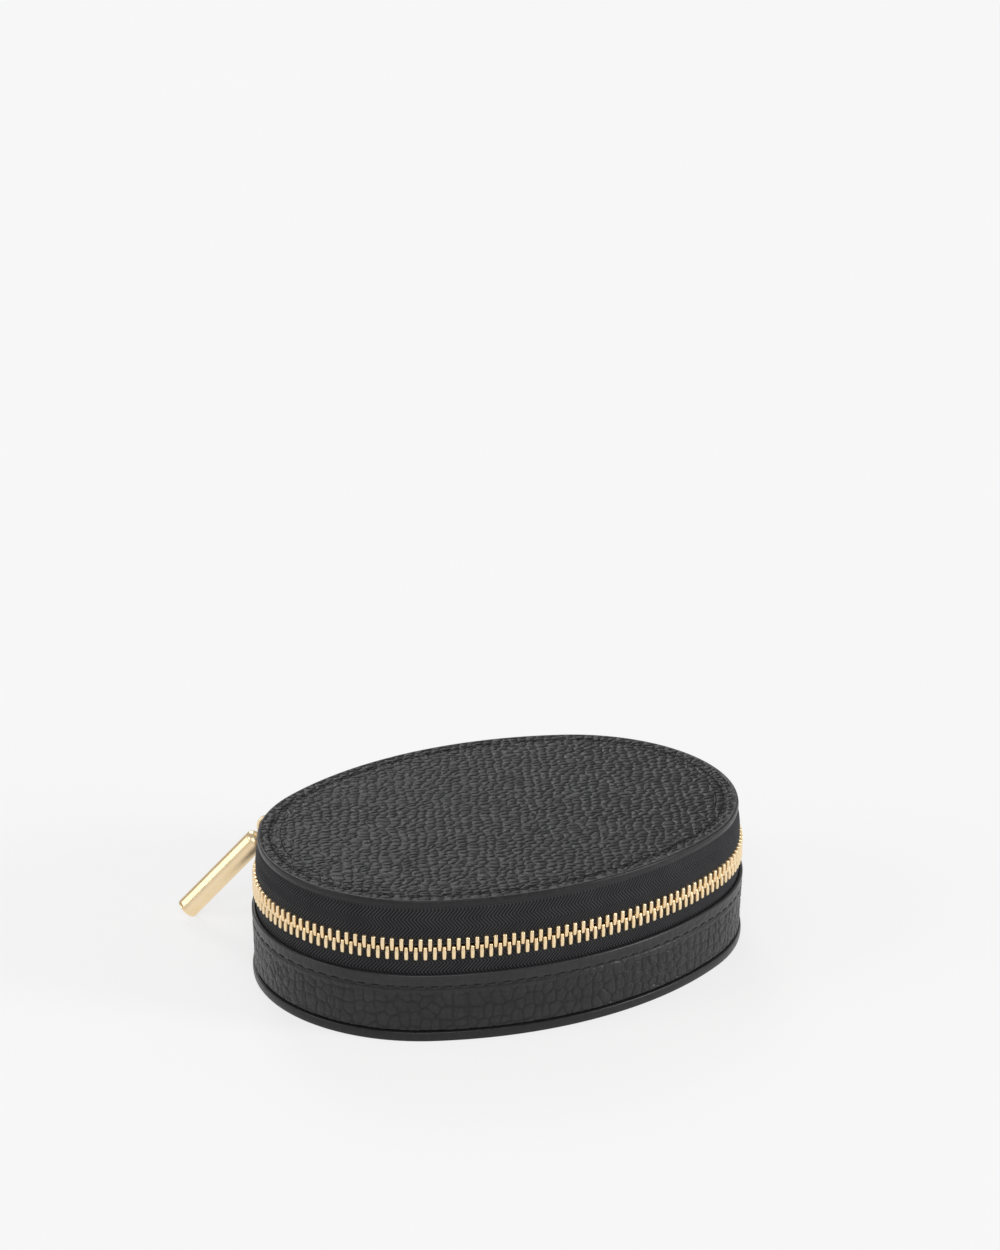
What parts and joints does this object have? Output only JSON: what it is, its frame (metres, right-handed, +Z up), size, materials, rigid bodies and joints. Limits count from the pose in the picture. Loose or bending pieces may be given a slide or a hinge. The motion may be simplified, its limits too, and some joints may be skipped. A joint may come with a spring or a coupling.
{
  "type": "coin purse",
  "caption": "Rigid oval zip-round coin purse in pebbled leather, with a hinged lid, metal teeth, a slider, a ring and a round pull bar.",
  "frame": {"origin": "centre of the base panel's underside, on the surface it stands on", "axes": "+X along the oval's length, +Y towards the hinge at the back, +Z up"},
  "size_m": [0.1386, 0.1119, 0.0386],
  "materials": {
    "panel_leather": "pebbled calf leather with painted edges",
    "pebbled_leather": "coarse pebbled calf leather",
    "board": "fibre stiffener board",
    "suede_lining": "soft brushed suede",
    "thread": "bonded thread",
    "zip_tape": "herringbone woven tape",
    "gold_metal": "satin champagne gold plate"
  },
  "bodies": {
    "base": {"base_panel": "panel_leather", "base_wall": "pebbled_leather", "base_board": "board", "base_lining": "suede_lining", "wall_board": "board", "wall_lining": "suede_lining", "base_stitching": "thread", "wall_stitching": "thread", "lower_zip_tape": "zip_tape", "lower_zip_teeth": "gold_metal", "lower_zip_stop": "gold_metal", "bottom_stop": "gold_metal", "hinge_strap": "pebbled_leather", "hinge_lining": "suede_lining", "hinge_stitching": "thread"},
    "lid": {"lid_panel": "panel_leather", "lid_board": "board", "lid_lining": "suede_lining", "lid_stitching": "thread", "upper_zip_tape": "zip_tape", "upper_zip_teeth": "gold_metal", "upper_zip_stop": "gold_metal"},
    "slider": {"slider_body": "gold_metal"},
    "ring": {"pull_ring": "gold_metal"},
    "bar": {"pull_bar": "gold_metal"}
  },
  "joints": [
    {"name": "lid_hinge", "type": "hinge", "parent": "base", "child": "lid", "pos_m": [0, 0.04945, 0.0257], "axis": [-1, 0, 0], "range_deg": [0, 105], "deforming": ["hinge_strap", "hinge_lining", "upper_zip_tape", "upper_zip_teeth", "upper_zip_stop"]},
    {"name": "slider_travel", "type": "hinge", "parent": "base", "child": "slider", "pos_m": [-0.02425, 0, 0.0257], "axis": [0, 0, 1], "range_deg": [0, 122], "deforming": ["lower_zip_teeth", "upper_zip_teeth"]},
    {"name": "ring_swing", "type": "hinge", "parent": "slider", "child": "ring", "pos_m": [-0.04397, 0.0443, 0.0257], "axis": [0, 0, 1], "range_deg": [-54, 15]},
    {"name": "bar_swing", "type": "hinge", "parent": "ring", "child": "bar", "pos_m": [-0.04589, 0.04559, 0.02745], "axis": [0.5577, 0.83, 0], "range_deg": [0, 40]}
  ]
}
